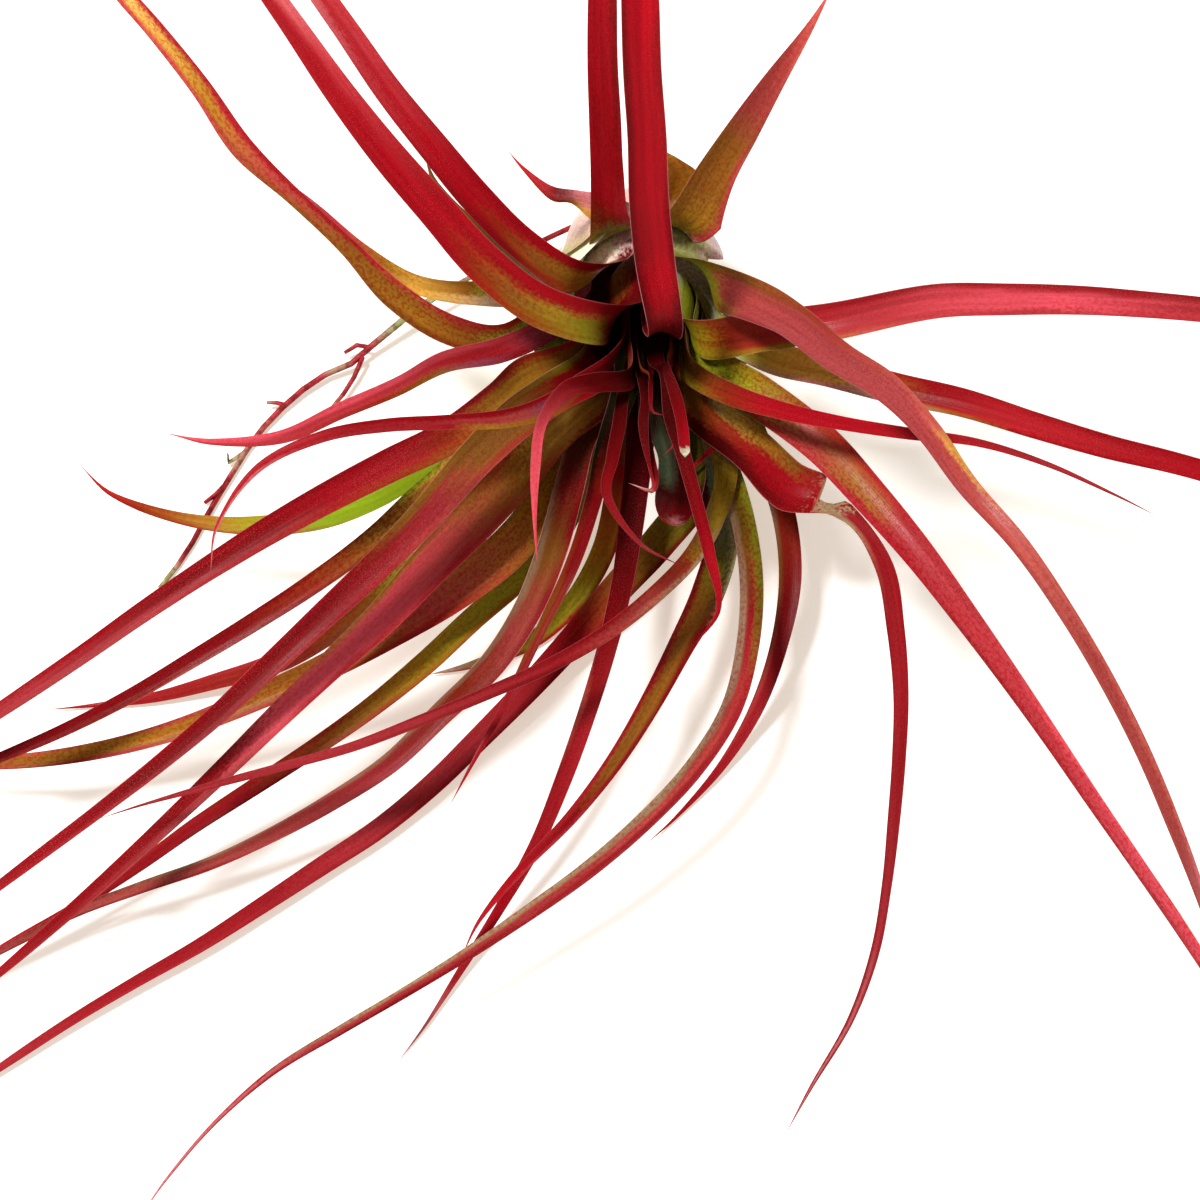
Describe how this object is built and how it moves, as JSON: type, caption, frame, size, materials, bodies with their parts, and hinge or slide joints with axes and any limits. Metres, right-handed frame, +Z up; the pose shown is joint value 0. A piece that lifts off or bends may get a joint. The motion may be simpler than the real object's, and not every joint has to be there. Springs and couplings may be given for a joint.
{
  "type": "air plant",
  "caption": "air plant picked and laid down, with long tapering channelled leaves that arch out of a bulb of wrapped sheaths and one thin wiry root",
  "frame": {"origin": "centre of the small flat spot under the bulb that the plant rests on", "axes": "+Z up from the surface, -Y the way the heart of the rosette opens, towards the viewer, +X to the viewer's right"},
  "size_m": [0.2916, 0.245, 0.148],
  "materials": {
    "leaf_red": "satin bright red leaf, with fine pale scales",
    "leaf_olive": "satin olive and gold mottled leaf turning red, with red margins",
    "leaf_green": "satin yellow-green leaf turning red towards the tip",
    "leaf_dark": "satin deep red leaf",
    "leaf_gold": "matte gold-tan scurfy underside over a red leaf",
    "leaf_pink": "matte silvery pink leaf",
    "leaf_pale": "matte pale olive leaf turning brown",
    "leaf_dry": "matte dried grey-brown leaf, still yellow-green on one side",
    "root": "matte tan wiry root"
  },
  "bodies": {
    "root": {"leaf_low_short": "leaf_green", "leaf_lowest_long": "leaf_dark", "leaf_left_ground_tip": "leaf_green", "leaf_left_green": "leaf_green", "leaf_right_low_tip": "leaf_green", "leaf_low_olive": "leaf_green", "leaf_left_low_mottled": "leaf_olive", "leaf_low_dark_long": "leaf_dark", "leaf_centre_broad": "leaf_dark", "leaf_front_crossing_tip": "leaf_dark", "leaf_front_gold_back": "leaf_gold", "leaf_back_left_pale": "leaf_pale", "leaf_back_left_dry": "leaf_dry", "leaf_left_olive_folded": "leaf_olive", "leaf_right_olive_base": "leaf_olive", "leaf_left_dark_long": "leaf_olive", "leaf_left_olive_long": "leaf_olive", "leaf_front_left_pointed": "leaf_red", "leaf_left_purple": "leaf_pink", "leaf_left_top_long": "leaf_red", "leaf_centre_stub": "leaf_dark", "leaf_left_bright_long": "leaf_red", "leaf_back_small_pink": "leaf_pink", "leaf_crossing_thin": "leaf_red", "leaf_inner_curl_right": "leaf_gold", "leaf_right_broken": "leaf_red", "leaf_right_down_long": "leaf_red", "leaf_back_right_small": "leaf_gold", "leaf_top_right": "leaf_olive", "leaf_right_level": "leaf_red", "leaf_upper_left_back": "leaf_red", "leaf_top_left": "leaf_red", "leaf_upper_left_front": "leaf_red", "leaf_right_thin_near": "leaf_red", "leaf_right_over_long": "leaf_red", "leaf_left_thin_near": "leaf_red", "leaf_top_near": "leaf_red", "leaf_inner_down_right": "leaf_red", "leaf_inner_drooping": "leaf_red", "leaf_inner_bright": "leaf_red", "leaf_inner_left": "leaf_red", "leaf_inner_hook_low": "leaf_pink", "leaf_inner_hook_small": "leaf_red", "leaf_inner_hook_right": "leaf_red", "leaf_inner_cut": "leaf_red", "stem_and_root": "root"}
  },
  "joints": []
}
